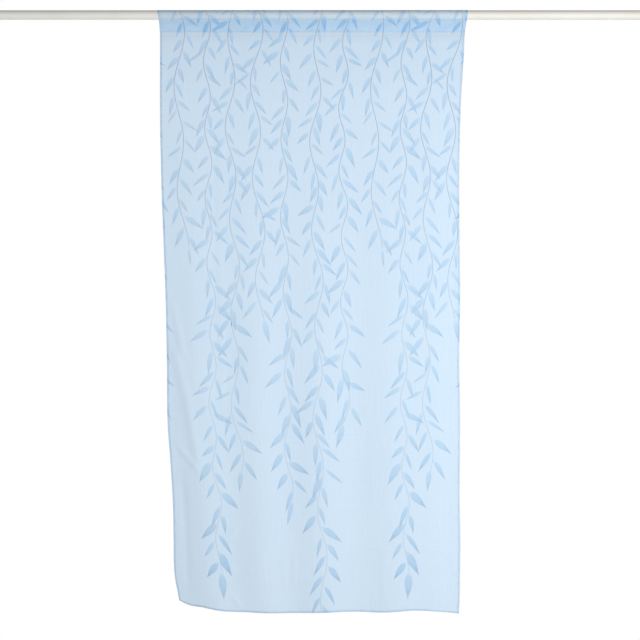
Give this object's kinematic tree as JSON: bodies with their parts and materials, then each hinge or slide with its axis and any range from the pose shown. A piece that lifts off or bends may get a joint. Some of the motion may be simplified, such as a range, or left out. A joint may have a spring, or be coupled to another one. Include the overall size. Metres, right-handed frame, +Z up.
{
  "type": "rod pocket curtain and rod",
  "caption": "Sheer rod pocket curtain with a hanging leaf pattern, hung almost flat on a straight round rod through its top pocket.",
  "frame": {"origin": "on the rod's axis, halfway along the rod, where it is held up", "axes": "+X along the rod to the right as seen from the room, +Y away from the room, +Z up"},
  "size_m": [2.2, 0.0334, 1.9524],
  "materials": {
    "voile": "sheer light blue voile, plain weave with fine upright slubs, printed with hanging leafy stems in a greyer blue",
    "rod_enamel": "satin warm white enamel on a steel tube"
  },
  "bodies": {
    "root": {"curtain_panel": "voile", "rod": "rod_enamel"}
  },
  "joints": []
}
